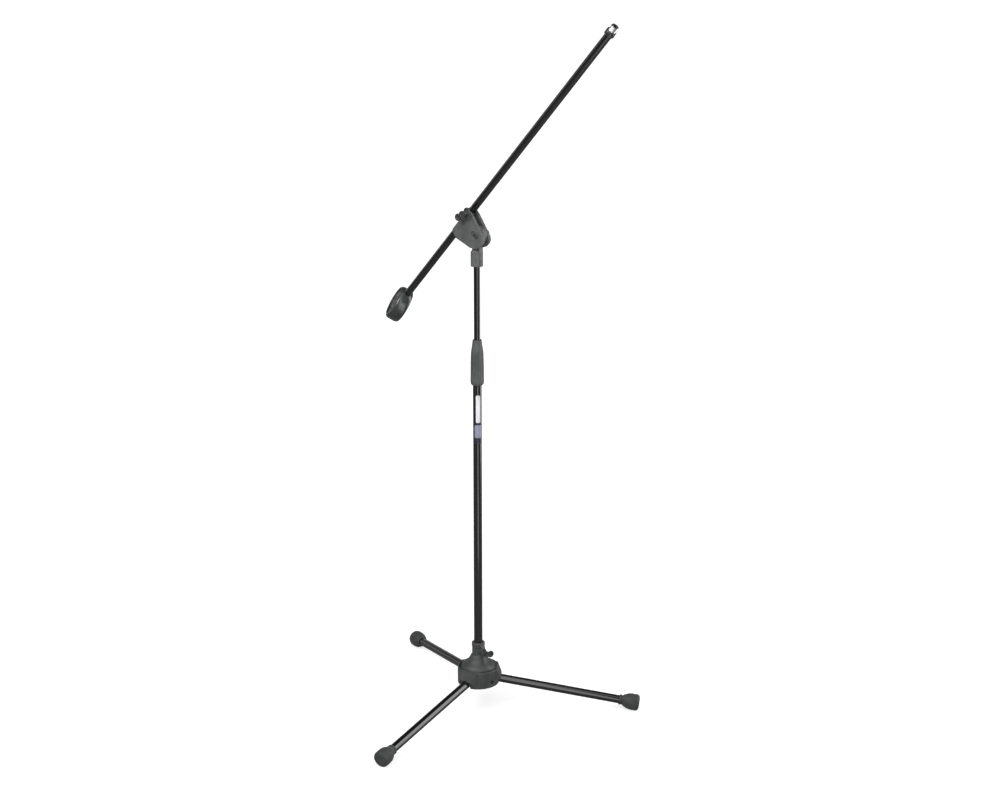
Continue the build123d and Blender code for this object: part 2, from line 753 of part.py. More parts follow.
# ---- Nodes
def build_nodes():
    nodes = {
        "hub_body": hub_body(),
        "hub_lock_insert": hub_lock_insert(),
        "hub_lock_screw": hub_lock_screw(),
        "hub_lock_wing": hub_lock_wing(),
        "leg_pivot_pins": leg_pivot_pins(),
        "lower_tube": lower_tube(),
        "lower_tube_plug": lower_tube_plug(),
        "tube_mark_bar": tube_mark(LABEL_BAR, LABEL_BAR_HALF),
        "tube_mark_panel": tube_mark(LABEL_PANEL, LABEL_PANEL_HALF),
        "clutch_collar": clutch_collar(),
        "clutch_collet": clutch_collet(),
        "clutch_grip": clutch_grip(),
        "upper_tube": upper_tube(),
        "upper_glide": upper_glide(),
        "mast_socket": mast_socket(),
        "socket_screw": socket_screw(),
        "friction_washers": friction_washers(),
        "clamp_plate_near": clamp_plate_near(),
        "clamp_plate_far": clamp_plate_far(),
        "pivot_bolt": pivot_bolt(),
        "knob_washer": knob_washer(),
        "tilt_insert": tilt_insert(),
        "tilt_knob": tilt_knob(),
        "boom_lock_insert": boom_lock_insert(),
        "boom_lock_screw": boom_lock_screw(),
        "boom_lock_wing": boom_lock_wing(),
        "boom_liner": boom_liner(),
        "boom_tube": boom_tube(),
        "tip_collar": tip_collar(),
        "tip_thread": tip_thread(),
        "counterweight_core": counterweight_core(),
        "counterweight_cover": counterweight_cover(),
        "counterweight_screw": counterweight_screw(),
    }
    for index in range(LEG_COUNT):
        number = index + 1
        nodes[f"leg_tube_{number}"] = leg_tube(index)
        nodes[f"leg_plug_{number}"] = leg_plug(index)
        nodes[f"foot_cap_{number}"] = foot_cap(index)
    return nodes


def main():
    os.makedirs("parts", exist_ok=True)
    for name, shape in build_nodes().items():
        export_step(shape, f"parts/{name}.step")


main()
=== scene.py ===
import json
import math

import bmesh
import bpy
from mathutils import Matrix, Vector

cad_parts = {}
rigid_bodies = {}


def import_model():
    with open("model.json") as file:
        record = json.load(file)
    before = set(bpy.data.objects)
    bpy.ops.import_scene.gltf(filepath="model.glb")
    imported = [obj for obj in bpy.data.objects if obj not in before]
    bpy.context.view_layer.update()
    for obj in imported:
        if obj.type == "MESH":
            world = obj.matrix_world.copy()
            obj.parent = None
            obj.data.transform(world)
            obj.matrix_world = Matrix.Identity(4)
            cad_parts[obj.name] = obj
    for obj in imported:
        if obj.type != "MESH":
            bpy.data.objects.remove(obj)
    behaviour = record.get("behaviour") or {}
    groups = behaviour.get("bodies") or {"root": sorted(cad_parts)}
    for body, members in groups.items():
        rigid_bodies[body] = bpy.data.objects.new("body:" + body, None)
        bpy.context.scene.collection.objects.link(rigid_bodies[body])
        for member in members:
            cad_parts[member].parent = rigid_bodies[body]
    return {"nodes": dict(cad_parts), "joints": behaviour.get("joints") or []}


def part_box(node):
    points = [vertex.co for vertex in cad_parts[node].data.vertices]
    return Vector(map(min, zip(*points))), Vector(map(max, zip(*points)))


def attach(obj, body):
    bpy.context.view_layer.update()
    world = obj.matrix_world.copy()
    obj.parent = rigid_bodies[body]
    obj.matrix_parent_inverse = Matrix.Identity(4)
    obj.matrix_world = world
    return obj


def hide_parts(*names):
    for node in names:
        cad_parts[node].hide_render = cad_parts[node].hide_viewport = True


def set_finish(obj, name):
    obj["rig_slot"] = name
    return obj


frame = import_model()

# Looks of the boom microphone stand. Lengths in outlines are millimetres; objects are in metres.

MM = 0.001
UP = Vector((0, 0, 1))
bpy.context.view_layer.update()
JOINTS = {joint["name"]: joint for joint in frame["joints"]}
LEGS = (1, 2, 3)

# ---- Dimensions that the frame's boxes don't give
LOWER_R = 9.525
LOWER_WALL = 1.2
UPPER_R = 6.76
BOOM_R = 7.9
LEG_R = 9.3
TUBE_WALL = 1.0
LEG_SLOPE = math.radians(9.2)
CAP_END = 334.0             # from the leg's pivot pin to the far end of its foot
CAP_LENGTH = 46.0
CAP_OVERLAP = 10.0          # from the end of the leg tube to the end of the foot
PIN_R = 2.5
PIN_HALF = 14.0
PIN_HEAD_R = 3.9
FLANGE_R = 13.4
PLUG_R = 8.3
GRIP_FLUTES = 10
GRIP_FLUTE_DEPTH = 1.15
BOOM_TUBE_START = -280.0
BOOM_TUBE_END = 557.0
COLLAR_START = 550.0
COLLAR_END = 559.0
TIP_THREAD_R = 7.94
TIP_THREAD_END = 571.0
TIP_PITCH = 25.4 / 27
TIP_BORE_R = 5.2
WEIGHT_S = -298.5
WEIGHT_ROLL = math.radians(40.0)
BOLT_R = 3.0
BOLT_END = 23.0
HEX_R = 5.77
WASHER_R = 7.5
LOCK_WING_TURN = math.radians(105.0)
HUB_WING_TURN = math.radians(-15.0)
LOBE_R = 7.8
LOBE_T = 6.0
MARK_AZIMUTH = math.radians(-39.5)
MARK_T = 0.15
FIELD_T = 0.08
BAR_HALF_ANGLE = math.radians(29)
PANEL_HALF_ANGLE = math.radians(46)
FIELD_HALF_ANGLE = math.radians(62)
FIELD_DROP = 13.0           # of the dark field under the panel

# ---- Fineness of the meshes
ROUND_STEPS = 5
TUBE_SIDES = 96
SMALL_SIDES = 72
BOLT_SIDES = 48
FOOT_SIDES = 160
WEIGHT_SIDES = 200
FLUTED_SIDES = 240
TUBE_STRETCH = 60.0         # longest face along a tube
HUB_VOXEL = 0.5
CLAMP_VOXEL = 0.4
HEAD_VOXEL = 0.3
SHARP_ANGLE = math.radians(38.0)
TINY = 1e-6


# ---- Frames
def joint_point(name):
    return Vector(JOINTS[name]["pos_m"])


def joint_axis(name):
    return Vector(JOINTS[name]["axis"]).normalized()


def placed(origin, z_axis, x_hint):
    """Frame at origin with +Z along z_axis and +X as near x_hint as square allows."""
    z_axis = Vector(z_axis).normalized()
    y_axis = z_axis.cross(Vector(x_hint)).normalized()
    x_axis = y_axis.cross(z_axis)
    matrix = Matrix((x_axis, y_axis, z_axis)).transposed().to_4x4()
    matrix.translation = Vector(origin)
    return matrix


def shifted(matrix, z):
    return matrix @ Matrix.Translation((0, 0, z * MM))


def leg_frame(number):
    """+Z out along the leg from its pivot pin, +Y along the pin."""
    pivot = joint_point(f"leg_fold_{number}")
    outward = Vector((pivot.x, pivot.y, 0)).normalized()
    along = outward * math.cos(LEG_SLOPE) - UP * math.sin(LEG_SLOPE)
    return placed(pivot, along, -UP)


COLUMN = Matrix.Identity(4)
BOOM_AXIS = joint_axis("boom_roll")
TILT_POINT = joint_point("boom_tilt")
BOOM_START = joint_point("boom_roll")
BOOM = placed(BOOM_START, BOOM_AXIS, joint_axis("boom_tilt"))
CLAMP = placed(TILT_POINT, BOOM_AXIS, joint_axis("boom_tilt"))
HUB_SCREW = placed(joint_point("hub_lock_turn"), joint_axis("hub_lock_turn"), UP)
TILT_BOLT = placed(TILT_POINT, joint_axis("tilt_knob_turn"), BOOM_AXIS)
SQUARE = joint_axis("boom_tilt").cross(BOOM_AXIS)
LOCK_WING = BOOM_AXIS * math.sin(LOCK_WING_TURN) + SQUARE * math.cos(LOCK_WING_TURN)
BOOM_SCREW_AXIS = joint_axis("boom_lock_turn")
BOOM_SCREW = placed(joint_point("boom_lock_turn"), BOOM_SCREW_AXIS, LOCK_WING.cross(BOOM_SCREW_AXIS))
WEIGHT_CENTRE = BOOM_START + BOOM_AXIS * WEIGHT_S * MM
WEIGHT_FACE = SQUARE * math.cos(WEIGHT_ROLL) + joint_axis("boom_tilt") * math.sin(WEIGHT_ROLL)
WEIGHT = placed(WEIGHT_CENTRE, WEIGHT_FACE, BOOM_AXIS)


# ---- Outlines
def softened(corners, radius, steps=ROUND_STEPS):
    """The outline with each inner corner rounded, its arc starting up to radius from the corner."""
    corners = [Vector(corner) for corner in corners]
    points = [corners[0]]
    for before, corner, after in zip(corners, corners[1:], corners[2:]):
        back = before - corner
        ahead = after - corner
        reach = min(radius, back.length / 2, ahead.length / 2)
        start = corner + back.normalized() * reach
        end = corner + ahead.normalized() * reach
        for step in range(steps + 1):
            share = step / steps
            chord = start.lerp(corner, share).lerp(corner.lerp(end, share), share)
            if (chord - points[-1]).length > TINY:
                points.append(chord)
    if (corners[-1] - points[-1]).length > TINY:
        points.append(corners[-1])
    return points


def divided(points, longest):
    """The outline with no stretch longer than longest."""
    result = [points[0]]
    for start, end in zip(points, points[1:]):
        pieces = max(1, math.ceil((end - start).length / longest))
        for step in range(1, pieces + 1):
            result.append(start.lerp(end, step / pieces))
    return result


def tube_outline(outer, inner, z0, z1, lip=0.5):
    """Closed outline of a tube wall, starting and ending in the middle of its bore."""
    middle = (z0 + z1) / 2
    corners = [(inner, middle), (inner, z0), (outer, z0), (outer, z1), (inner, z1), (inner, middle)]
    return softened(corners, lip)


# ---- Meshes
def new_piece(name, mesh, matrix):
    """Object made from a bmesh, smooth-shaded up to the sharp angle."""
    bmesh.ops.recalc_face_normals(mesh, faces=mesh.faces)
    data = bpy.data.meshes.new(name)
    mesh.to_mesh(data)
    mesh.free()
    piece = bpy.data.objects.new(name, data)
    bpy.context.scene.collection.objects.link(piece)
    piece.matrix_world = matrix
    smooth(piece)
    return piece


def smooth(piece):
    piece.data.shade_smooth()
    piece.data.set_sharp_from_angle(angle=SHARP_ANGLE)


def bridge(mesh, lower, upper):
    """Faces between two rings; a ring of one vertex is a pole."""
    count = max(len(lower), len(upper))
    for index in range(count):
        following = (index + 1) % count
        corners = [lower[index % len(lower)], lower[following % len(lower)]]
        corners += [upper[following % len(upper)], upper[index % len(upper)]]
        unique = list(dict.fromkeys(corners))
        if len(unique) > 2:
            mesh.faces.new(unique)


def add_turned(mesh, outline, sides, ripple=None, place=None):
    """Adds a surface of revolution about Z. A closed outline makes a closed wall."""
    closed = (outline[0] - outline[-1]).length < TINY and outline[0].x > TINY
    stations = outline[:-1] if closed else outline
    rings = []
    for radius, z in stations:
        ring = []
        for side in range(sides if radius > TINY else 1):
            angle = 2 * math.pi * side / sides
            reach = radius + (ripple(radius, z, angle) if ripple else 0)
            point = Vector((reach * math.cos(angle), reach * math.sin(angle), z)) * MM
            ring.append(mesh.verts.new(place @ point if place else point))
        rings.append(ring)
    for lower, upper in zip(rings, rings[1:]):
        bridge(mesh, lower, upper)
    if closed:
        bridge(mesh, rings[-1], rings[0])


def turned(name, outline, matrix, sides=TUBE_SIDES, ripple=None):
    mesh = bmesh.new()
    add_turned(mesh, outline, sides, ripple)
    return new_piece(name, mesh, matrix)


def add_prism(mesh, outline, z0, z1, place=None):
    """Adds a flat-ended bar along Z with the given closed outline."""
    rings = []
    for z in (z0, z1):
        points = [Vector((x, y, z)) * MM for x, y in outline]
        rings.append([mesh.verts.new(place @ point if place else point) for point in points])
    bridge(mesh, rings[0], rings[1])
    mesh.faces.new(rings[0])
    mesh.faces.new(rings[1])


def relaxed(piece, voxel, passes):
    """Gives a piece the even skin and soft edges of a moulding."""
    remesh = piece.modifiers.new("skin", "REMESH")
    remesh.mode = "VOXEL"
    remesh.voxel_size = voxel * MM
    remesh.use_smooth_shade = True
    ease = piece.modifiers.new("ease", "SMOOTH")
    ease.factor = 0.5
    ease.iterations = passes
    graph = bpy.context.evaluated_depsgraph_get()
    skin = bpy.data.meshes.new_from_object(piece.evaluated_get(graph))
    piece.modifiers.clear()
    piece.data = skin
    skin.shade_smooth()
    return piece


def moulded(name, node, matrix, voxel, passes):
    """A CAD solid copied and remeshed with soft edges, in its own frame."""
    copy = frame["nodes"][node].data.copy()
    copy.transform(matrix.inverted())
    mesh = bmesh.new()
    mesh.from_mesh(copy)
    bmesh.ops.remove_doubles(mesh, verts=mesh.verts, dist=TINY)
    return relaxed(new_piece(name, mesh, matrix), voxel, passes)


def even_normals(piece):
    """Flat faces stay flat beside their rounded edges."""
    weighting = piece.modifiers.new("normals", "WEIGHTED_NORMAL")
    weighting.keep_sharp = True


def place(piece, body, material, slot, *nodes):
    """Gives a new piece its finish, its body and the CAD nodes that it stands for."""
    piece.data.materials.clear()
    piece.data.materials.append(material)
    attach(piece, body)
    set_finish(piece, slot)
    if nodes:
        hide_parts(*nodes)
    return piece


def paint(node, material):
    """Gives a CAD node its finish."""
    slots = frame["nodes"][node].data.materials
    slots.clear()
    slots.append(material)


# ---- Materials
def noise(tree, scale, detail=3.0, roughness=0.55, stretch=(1, 1, 1)):
    """Noise over the piece's own coordinates, in cells per metre. Returns its value."""
    coordinates = tree.nodes.new("ShaderNodeTexCoord")
    mapping = tree.nodes.new("ShaderNodeMapping")
    mapping.inputs["Scale"].default_value = stretch
    pattern = tree.nodes.new("ShaderNodeTexNoise")
    pattern.inputs["Scale"].default_value = scale
    pattern.inputs["Detail"].default_value = detail
    pattern.inputs["Roughness"].default_value = roughness
    tree.links.new(coordinates.outputs["Object"], mapping.inputs["Vector"])
    tree.links.new(mapping.outputs["Vector"], pattern.inputs["Vector"])
    return pattern.outputs["Fac"]


def ranged(tree, value, low, high, to_low, to_high):
    """Value mapped from one range to another and held at its ends."""
    node = tree.nodes.new("ShaderNodeMapRange")
    node.inputs["From Min"].default_value = low
    node.inputs["From Max"].default_value = high
    node.inputs["To Min"].default_value = to_low
    node.inputs["To Max"].default_value = to_high
    tree.links.new(value, node.inputs["Value"])
    return node.outputs["Result"]


def product(tree, first, second):
    node = tree.nodes.new("ShaderNodeMath")
    node.operation = "MULTIPLY"
    tree.links.new(first, node.inputs[0])
    tree.links.new(second, node.inputs[1])
    return node.outputs[0]


def mixed(tree, share, first, second):
    """Colour mixed from first to second; either may be a colour or a socket."""
    node = tree.nodes.new("ShaderNodeMix")
    node.data_type = "RGBA"
    tree.links.new(share, node.inputs["Factor"])
    for name, value in (("A", first), ("B", second)):
        socket = next(s for s in node.inputs if s.name == name and s.type == "RGBA")
        if isinstance(value, tuple):
            socket.default_value = (*value, 1.0)
        else:
            tree.links.new(value, socket)
    return next(s for s in node.outputs if s.type == "RGBA")


def relief(tree, heights):
    """Bumps stacked from (value, depth in metres) pairs. Returns the normal."""
    normal = None
    for value, depth in heights:
        bump = tree.nodes.new("ShaderNodeBump")
        bump.inputs["Strength"].default_value = 1.0
        bump.inputs["Distance"].default_value = depth
        tree.links.new(value, bump.inputs["Height"])
        if normal:
            tree.links.new(normal, bump.inputs["Normal"])
        normal = bump.outputs["Normal"]
    return normal


def surface(name, dark, light, worn, gloss, grain, stretch=(1, 1, 1), **constants):
    """Material whose colour drifts between dark and light and turns to worn along edges.

    gloss is the lowest and highest roughness; grain is (cells per metre, depth in metres).
    """
    material = bpy.data.materials.new(name)
    material.use_nodes = True
    tree = material.node_tree
    shader = tree.nodes["Principled BSDF"]
    for socket, value in constants.items():
        shader.inputs[socket.replace("_", " ").title().replace("Ior", "IOR")].default_value = value
    drift = noise(tree, 38.0, detail=4.0, stretch=stretch)
    colour = mixed(tree, ranged(tree, drift, 0.35, 0.65, 0.0, 1.0), dark, light)
    geometry = tree.nodes.new("ShaderNodeNewGeometry")
    edges = ranged(tree, geometry.outputs["Pointiness"], 0.515, 0.575, 0.0, 1.0)
    patches = ranged(tree, noise(tree, 160.0, detail=5.0), 0.4, 0.62, 0.15, 1.0)
    colour = mixed(tree, product(tree, edges, patches), colour, worn)
    tree.links.new(colour, shader.inputs["Base Color"])
    smears = noise(tree, 75.0, detail=6.0, roughness=0.65, stretch=stretch)
    tree.links.new(ranged(tree, smears, 0.3, 0.7, *gloss), shader.inputs["Roughness"])
    cells, depth = grain
    fine = noise(tree, cells, detail=2.0)
    waves = noise(tree, cells / 9, detail=1.0, stretch=stretch)
    normal = relief(tree, [(waves, depth * 3), (fine, depth)])
    tree.links.new(normal, shader.inputs["Normal"])
    return material


DRAWN = (1.0, 1.0, 0.06)    # pattern drawn out along a tube's length

BLACK_GLOSS = surface(
    "black_gloss_enamel", (0.0025, 0.0026, 0.0028), (0.0050, 0.0052, 0.0054), (0.04, 0.04, 0.04),
    (0.10, 0.20), (700.0, 0.0000020), DRAWN, ior=1.6, coat_weight=0.25, coat_roughness=0.06,
)
HUB_PLASTIC = surface(
    "hub_plastic", (0.040, 0.044, 0.043), (0.060, 0.066, 0.064), (0.12, 0.13, 0.125),
    (0.42, 0.58), (1500.0, 0.00002), ior=1.5,
)
CLAMP_PLASTIC = surface(
    "clamp_plastic", (0.075, 0.078, 0.077), (0.105, 0.109, 0.107), (0.19, 0.195, 0.19),
    (0.42, 0.6), (1500.0, 0.00002), ior=1.5,
)
GRIP_PLASTIC = surface(
    "grip_plastic", (0.052, 0.060, 0.057), (0.078, 0.088, 0.084), (0.15, 0.16, 0.155),
    (0.45, 0.62), (1800.0, 0.00002), ior=1.5,
)
KNOB_PLASTIC = surface(
    "knob_plastic", (0.022, 0.023, 0.023), (0.038, 0.040, 0.040), (0.11, 0.115, 0.11),
    (0.36, 0.52), (1500.0, 0.000015), ior=1.5,
)
INNER_PLASTIC = surface(
    "inner_plastic", (0.012, 0.012, 0.012), (0.022, 0.022, 0.022), (0.05, 0.05, 0.05),
    (0.5, 0.65), (1200.0, 0.000015), ior=1.5,
)
FOOT_RUBBER = surface(
    "foot_rubber", (0.030, 0.032, 0.032), (0.048, 0.051, 0.050), (0.085, 0.09, 0.088),
    (0.55, 0.75), (1300.0, 0.00003), ior=1.45, sheen_weight=0.12, sheen_roughness=0.5,
)
TIP_BLACK = surface(
    "tip_collar_enamel", (0.008, 0.008, 0.009), (0.014, 0.014, 0.015), (0.10, 0.10, 0.10),
    (0.24, 0.38), (900.0, 0.000004), DRAWN, ior=1.6, coat_weight=0.3, coat_roughness=0.15,
)
THREAD_STEEL = surface(
    "thread_zinc", (0.52, 0.53, 0.55), (0.68, 0.69, 0.70), (0.82, 0.82, 0.83),
    (0.2, 0.38), (2200.0, 0.000004), metallic=1.0,
)
BLACK_STEEL = surface(
    "bolt_black_oxide", (0.020, 0.020, 0.021), (0.034, 0.034, 0.035), (0.14, 0.14, 0.14),
    (0.28, 0.42), (1600.0, 0.000006), ior=1.6,
)
INSERT_BRASS = surface(
    "insert_brass", (0.55, 0.40, 0.17), (0.72, 0.55, 0.26), (0.85, 0.7, 0.4),
    (0.25, 0.42), (2000.0, 0.000004), metallic=1.0,
)
WEIGHT_IRON = surface(
    "weight_iron", (0.05, 0.05, 0.05), (0.09, 0.088, 0.085), (0.16, 0.15, 0.14),
    (0.5, 0.7), (700.0, 0.00008), metallic=0.6,
)
WEIGHT_COVER = surface(
    "weight_cover", (0.020, 0.022, 0.0215), (0.034, 0.037, 0.036), (0.12, 0.125, 0.12),
    (0.2, 0.34), (1100.0, 0.000008), ior=1.55, coat_weight=0.35, coat_roughness=0.2,
)
MARK_WHITE = surface(
    "mark_white", (0.74, 0.74, 0.77), (0.86, 0.86, 0.88), (0.6, 0.6, 0.62),
    (0.3, 0.45), (2400.0, 0.000004), ior=1.5,
)
MARK_BLUE = surface(
    "mark_blue", (0.24, 0.24, 0.34), (0.30, 0.30, 0.42), (0.36, 0.36, 0.48),
    (0.3, 0.45), (2400.0, 0.000004), ior=1.5,
)
MARK_NAVY = surface(
    "mark_navy", (0.010, 0.011, 0.024), (0.014, 0.016, 0.034), (0.03, 0.03, 0.05),
    (0.3, 0.45), (2400.0, 0.000004), ior=1.5,
)


# ---- Tubes
def straight_tubes():
    low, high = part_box("lower_tube")
    outline = tube_outline(LOWER_R, LOWER_R - LOWER_WALL, low.z / MM, high.z / MM)
    tube = turned("column_lower_tube", divided(outline, TUBE_STRETCH), COLUMN)
    place(tube, "column", BLACK_GLOSS, "black_tube", "lower_tube")

    low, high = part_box("upper_tube")
    outline = tube_outline(UPPER_R, UPPER_R - TUBE_WALL, low.z / MM, high.z / MM)
    tube = turned("column_upper_tube", divided(outline, TUBE_STRETCH), COLUMN)
    place(tube, "mast", BLACK_GLOSS, "black_tube", "upper_tube")

    outline = tube_outline(BOOM_R, BOOM_R - TUBE_WALL, BOOM_TUBE_START, BOOM_TUBE_END)
    tube = turned("boom_arm_tube", divided(outline, TUBE_STRETCH), BOOM)
    place(tube, "boom", BLACK_GLOSS, "black_tube", "boom_tube")


def leg_tube(number):
    """Leg tube whose inner end is rounded about the pivot pin."""
    start = -LEG_R
    outline = tube_outline(LEG_R, LEG_R - TUBE_WALL, start, CAP_END - CAP_OVERLAP, 0.3)
    tube = turned(f"leg_{number}_tube", divided(outline, TUBE_STRETCH), leg_frame(number))
    for vertex in tube.data.vertices:
        if vertex.co.z < 0:
            height = min(abs(vertex.co.x), LEG_R * MM)
            nose = math.sqrt((LEG_R * MM) ** 2 - height ** 2)
            vertex.co.z = vertex.co.z / (start * MM) * -nose
    smooth(tube)
    place(tube, f"leg_{number}", BLACK_GLOSS, "black_tube", f"leg_tube_{number}")


# ---- Feet
def foot_cap(number):
    """Rubber foot: collar, groove, swelling body and a banded end, worn flat where it stands."""
    start = CAP_END - CAP_LENGTH
    corners = [
        (LEG_R, start + 1.0),
        (10.6, start),
        (11.5, start + 0.8),
        (11.5, start + 5.0),
        (10.6, start + 6.0),
        (10.6, start + 8.0),
        (12.3, start + 9.5),
        (15.6, start + 16.5),
        (17.6, start + 21.5),
        (18.3, start + 27.0),
        (18.5, start + 33.0),
        (18.0, start + 33.5),
        (18.0, start + 34.5),
        (18.5, start + 35.0),
        (18.5, start + 40.5),
        (16.9, start + 44.2),
        (13.5, start + CAP_LENGTH),
        (11.5, start + CAP_LENGTH),
        (10.5, start + 45.2),
        (0, start + 45.2),
    ]
    outline = divided(softened(corners, 1.6), 1.2)
    cap = turned(f"leg_{number}_foot", outline, leg_frame(number), FOOT_SIDES)
    matrix = cap.matrix_world.copy()
    inverse = matrix.inverted()
    for vertex in cap.data.vertices:
        point = matrix @ vertex.co
        if point.z < 0:
            point.z = 0
            vertex.co = inverse @ point
    smooth(cap)
    place(cap, f"leg_{number}", FOOT_RUBBER, "foot_rubber", f"foot_cap_{number}")


# ---- Hub
def hub():
    body = moulded("hub_casting", "hub_body", COLUMN, HUB_VOXEL, 3)
    place(body, "hub", HUB_PLASTIC, "hub_plastic", "hub_body")
    pins = bmesh.new()
    corners = [(0, PIN_HALF + 3.2), (2.2, PIN_HALF + 2.9), (PIN_HEAD_R, PIN_HALF + 1.6)]
    corners += [(PIN_HEAD_R, PIN_HALF), (PIN_R, PIN_HALF), (PIN_R, -PIN_HALF), (0, -PIN_HALF)]
    outline = softened(corners, 0.5)
    for number in LEGS:
        # the pin's head sinks into the access hole on the leg frame's -Y side
        matrix = leg_frame(number) @ Matrix.Rotation(math.radians(90), 4, "X")
        add_turned(pins, outline, BOLT_SIDES, place=matrix)
    place(new_piece("leg_pins", pins, COLUMN), "hub", THREAD_STEEL, "thread_steel", "leg_pivot_pins")


def lobed_head(name, matrix, barrel_r, length, reach):
    """Hand screw head along Z: a waisted barrel with a dished round lobe on each side."""
    mesh = bmesh.new()
    waist = barrel_r * 0.86
    barrel = [(0, 0), (barrel_r, 0), (waist, length * 0.35)]
    barrel += [(waist, length * 0.6), (barrel_r, length), (barrel_r * 0.6, length)]
    barrel += [(barrel_r * 0.5, length - 1.0), (0, length - 1.0)]
    add_turned(mesh, softened(barrel, 0.8), SMALL_SIDES)
    low = length - LOBE_T
    web = [(-3.4, -reach), (3.4, -reach), (3.4, reach), (-3.4, reach)]
    add_prism(mesh, web, low + 0.8, length - 1.4)
    rim = [(0, low + 1.2), (4.0, low + 1.0), (6.6, low), (LOBE_R, low + 1.4), (LOBE_R, length - 1.4)]
    rim += [(6.6, length), (4.6, length - 0.5), (3.4, length - 2.4), (0, length - 2.4)]
    for side in (-1, 1):
        centre = Matrix.Translation(Vector((0, side * reach, 0)) * MM)
        add_turned(mesh, softened(rim, 1.0), SMALL_SIDES, place=centre)
    return relaxed(new_piece(name, mesh, matrix), HEAD_VOXEL, 4)


def thread(name, matrix, radius, pitch, z0, z1, bore=None, sides=SMALL_SIDES):
    """Screwed rod along Z: a helical ridge that fades out at both ends."""
    depth = pitch * 0.45

    def ridge(radius_here, z, angle):
        if radius_here < radius - TINY:
            return 0.0
        fade = min(1.0, max(0.0, (z - z0) / pitch), max(0.0, (z1 - z) / pitch))
        phase = (z / pitch - angle / (2 * math.pi)) % 1.0
        return -depth * (1 - fade * (1 - abs(2 * phase - 1)))

    core = bore or 0.0
    corners = [(core, z0), (radius, z0), (radius, z1), (core, z1)]
    points = [Vector(corner) for corner in corners]
    outline = [points[0], *divided(points[1:3], pitch / 8), points[3]]
    if bore:
        outline.append(points[0])
    return turned(name, outline, matrix, sides, ridge)


# ---- Column
def column_plug():
    """Retaining flange under the hub, with its stem in the tube."""
    low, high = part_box("lower_tube_plug")
    bottom = low.z / MM
    rim = bottom + 3.2
    corners = [(0, bottom + 0.8), (8.5, bottom + 0.8), (9.2, bottom), (FLANGE_R, bottom)]
    corners += [(FLANGE_R, rim), (PLUG_R, rim), (PLUG_R, high.z / MM), (0, high.z / MM)]
    plug = turned("column_end_plug", softened(corners, 0.6), COLUMN)
    place(plug, "column", INNER_PLASTIC, "inner_plastic", "lower_tube_plug")


def printed_patch(name, z_range, half_angle, thickness):
    """Thin print with rounded corners that follows the tube."""
    bottom, top = z_range
    rows = 48
    columns = 24
    corner = 2.5
    mesh = bmesh.new()
    grid = []
    for row in range(rows + 1):
        z = bottom + (top - bottom) * row / rows
        inset = max(0.0, corner - min(z - bottom, top - z))
        trim = (corner - math.sqrt(corner ** 2 - inset ** 2)) / LOWER_R
        line = []
        for column in range(columns + 1):
            share = 2 * column / columns - 1
            angle = MARK_AZIMUTH + share * (half_angle - trim)
            line.append((angle, z))
        grid.append(line)
    layers = []
    for reach in (LOWER_R + 0.02, LOWER_R + thickness):
        layer = []
        for line in grid:
            layer.append([
                mesh.verts.new(Vector((reach * math.cos(angle), reach * math.sin(angle), z)) * MM)
                for angle, z in line
            ])
        layers.append(layer)
    inner, outer = layers
    for row in range(rows):
        for column in range(columns):
            for layer in layers:
                lower, upper = layer[row], layer[row + 1]
                mesh.faces.new((lower[column], lower[column + 1], upper[column + 1], upper[column]))
    bridge(mesh, edge_of(inner), edge_of(outer))
    return new_piece(name, mesh, COLUMN)


def printed_marks():
    """Plain white bar over a grey-blue panel on a dark field."""
    low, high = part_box("tube_mark_bar")
    bar = (low.z / MM, high.z / MM)
    patch = printed_patch("column_mark_bar", bar, BAR_HALF_ANGLE, MARK_T)
    place(patch, "column", MARK_WHITE, "mark_white", "tube_mark_bar")
    low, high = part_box("tube_mark_panel")
    panel = (low.z / MM, high.z / MM)
    patch = printed_patch("column_mark_panel", panel, PANEL_HALF_ANGLE, MARK_T)
    place(patch, "column", MARK_BLUE, "mark_blue", "tube_mark_panel")
    field = (panel[0] - FIELD_DROP, bar[0] - 0.4)
    patch = printed_patch("column_mark_field", field, FIELD_HALF_ANGLE, FIELD_T)
    place(patch, "column", MARK_NAVY, "mark_blue")


def edge_of(grid):
    """The vertices round the edge of a grid, in order."""
    rim = list(grid[0])
    rim += [line[-1] for line in grid[1:]]
    rim += list(reversed(grid[-1]))[1:]
    rim += [line[0] for line in reversed(grid[1:-1])]
    return rim


# ---- Height clutch
def clutch_grip():
    """Long hand grip: a fluted barrel that narrows to a collar round the upper tube."""
    low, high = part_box("clutch_grip")
    bottom = low.z / MM
    top = high.z / MM
    lower_end = bottom + 12.0
    upper_end = top - 14.0
    corners = [
        (LOWER_R + 0.4, bottom + 22.0),
        (LOWER_R + 0.4, bottom),
        (10.8, bottom),
        (13.6, bottom + 2.4),
        (14.75, bottom + 7.5),
        (14.45, bottom + 45.0),
        (13.7, top - 28.0),
        (11.9, top - 17.0),
        (10.5, top - 8.0),
        (9.9, top - 1.2),
        (9.0, top),
        (UPPER_R + 0.5, top),
        (UPPER_R + 0.5, top - 20.0),
    ]

    def flute(radius, z, angle):
        if radius < 11.0:
            return 0.0
        fade = min(1.0, max(0.0, z - lower_end) / 6.0, max(0.0, upper_end - z) / 16.0)
        fade = fade * fade * (3 - 2 * fade)
        return -GRIP_FLUTE_DEPTH * fade * (0.5 + 0.5 * math.cos(GRIP_FLUTES * angle)) ** 2.2

    outline = divided(softened(corners, 2.0), 1.0)
    grip = turned("clutch_hand_grip", outline, COLUMN, FLUTED_SIDES, flute)
    place(grip, "clutch", GRIP_PLASTIC, "grip_plastic", "clutch_grip")


